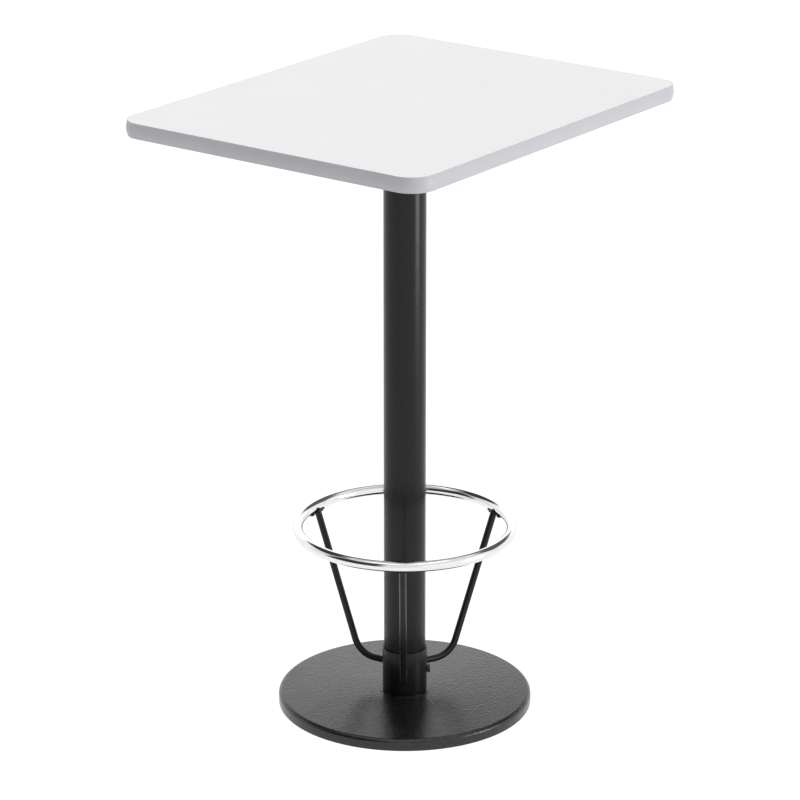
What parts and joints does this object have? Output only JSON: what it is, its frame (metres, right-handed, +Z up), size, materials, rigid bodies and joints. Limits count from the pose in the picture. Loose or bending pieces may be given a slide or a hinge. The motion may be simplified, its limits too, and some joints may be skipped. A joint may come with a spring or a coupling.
{
  "type": "bistro table",
  "caption": "Bar-height table: rectangular laminate top with a rounded moulded edge on a round steel column, a weighted disc base, and a chrome foot ring on rod arms clamped to the column.",
  "frame": {"origin": "on the floor, on the column's axis, which is also the middle of the top and of the base", "axes": "+Z up the column, X along the top's long side, Y along its short side"},
  "size_m": [0.7666, 0.6142, 1.095],
  "materials": {
    "laminate_white": "fine suede-textured high-pressure laminate",
    "particleboard": "raw chipboard, hidden",
    "backer_sheet_grey": "plain balancing sheet",
    "edge_pvc_grey": "satin extruded edge moulding",
    "powder_coat_black": "fine-textured satin powder coat",
    "cast_iron_black": "satin black powder coat on a casting",
    "chrome_tube": "bright plate",
    "screw_black": "black oxide",
    "zinc_steel": "zinc plate",
    "nylon_black": "moulded nylon"
  },
  "bodies": {
    "table": {"top_core": "particleboard", "top_laminate": "laminate_white", "backer_sheet": "backer_sheet_grey", "edge_moulding": "edge_pvc_grey", "mounting_spider": "cast_iron_black", "wood_screw_1": "zinc_steel", "wood_screw_2": "zinc_steel", "wood_screw_3": "zinc_steel", "wood_screw_4": "zinc_steel", "wood_screw_5": "zinc_steel", "wood_screw_6": "zinc_steel", "wood_screw_7": "zinc_steel", "wood_screw_8": "zinc_steel", "column_tube": "powder_coat_black", "tie_rod": "zinc_steel", "tie_rod_top_washer": "zinc_steel", "tie_rod_top_nut": "zinc_steel", "tie_rod_base_washer": "zinc_steel", "tie_rod_base_nut": "zinc_steel", "base_plate": "cast_iron_black"},
    "foot_ring_carrier": {"ring_collar": "powder_coat_black", "ring_arm_1": "powder_coat_black", "ring_arm_2": "powder_coat_black", "ring_arm_3": "powder_coat_black", "ring_saddle_1": "powder_coat_black", "ring_saddle_2": "powder_coat_black", "ring_saddle_3": "powder_coat_black", "saddle_screw_1": "screw_black", "saddle_screw_2": "screw_black", "saddle_screw_3": "screw_black", "saddle_screw_4": "screw_black", "saddle_screw_5": "screw_black", "saddle_screw_6": "screw_black", "foot_ring": "chrome_tube"},
    "set_screw": {"collar_set_screw": "screw_black"},
    "glide_1_body": {"glide_1": "nylon_black"},
    "glide_2_body": {"glide_2": "nylon_black"},
    "glide_3_body": {"glide_3": "nylon_black"},
    "glide_4_body": {"glide_4": "nylon_black"}
  },
  "joints": [
    {"name": "foot_ring_height", "type": "slide", "parent": "table", "child": "foot_ring_carrier", "axis": [0, 0, 1], "range_m": [-0.0025, 0.7]},
    {"name": "set_screw_travel", "type": "slide", "parent": "foot_ring_carrier", "child": "set_screw", "axis": [0.6032, -0.7976, 0], "range_m": [0, 0.002]},
    {"name": "glide_1_level", "type": "slide", "parent": "table", "child": "glide_1_body", "axis": [0, 0, -1], "range_m": [0, 0.006]},
    {"name": "glide_2_level", "type": "slide", "parent": "table", "child": "glide_2_body", "axis": [0, 0, -1], "range_m": [0, 0.006]},
    {"name": "glide_3_level", "type": "slide", "parent": "table", "child": "glide_3_body", "axis": [0, 0, -1], "range_m": [0, 0.006]},
    {"name": "glide_4_level", "type": "slide", "parent": "table", "child": "glide_4_body", "axis": [0, 0, -1], "range_m": [0, 0.006]}
  ]
}
